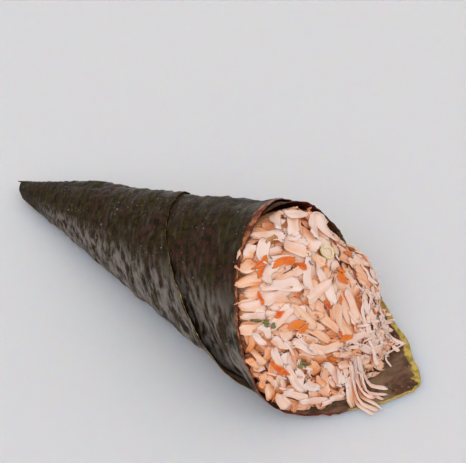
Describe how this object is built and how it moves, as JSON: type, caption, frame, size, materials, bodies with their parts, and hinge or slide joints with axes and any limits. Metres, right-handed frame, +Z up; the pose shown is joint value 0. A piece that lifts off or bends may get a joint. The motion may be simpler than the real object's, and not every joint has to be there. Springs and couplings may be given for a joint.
{
  "type": "temaki hand roll",
  "caption": "Temaki hand roll lying on its side: a cone of rolled nori sheet with a tongue at its open mouth, packed and heaped with shredded crab salad.",
  "frame": {"origin": "centre of the footprint's bounding box, at the height of the surface that the roll lies on", "axes": "+X from the tip to the mouth, +Y towards the flank where the tongue's corner lies, +Z up"},
  "size_m": [0.1464, 0.0536, 0.0476],
  "materials": {
    "nori": "roasted seaweed sheet, dark olive brown with a soft sheen",
    "crab_salad": "moist shredded crab stick in a thin creamy dressing"
  },
  "bodies": {
    "root": {"nori_sheet": "nori", "crab_salad": "crab_salad"}
  },
  "joints": []
}
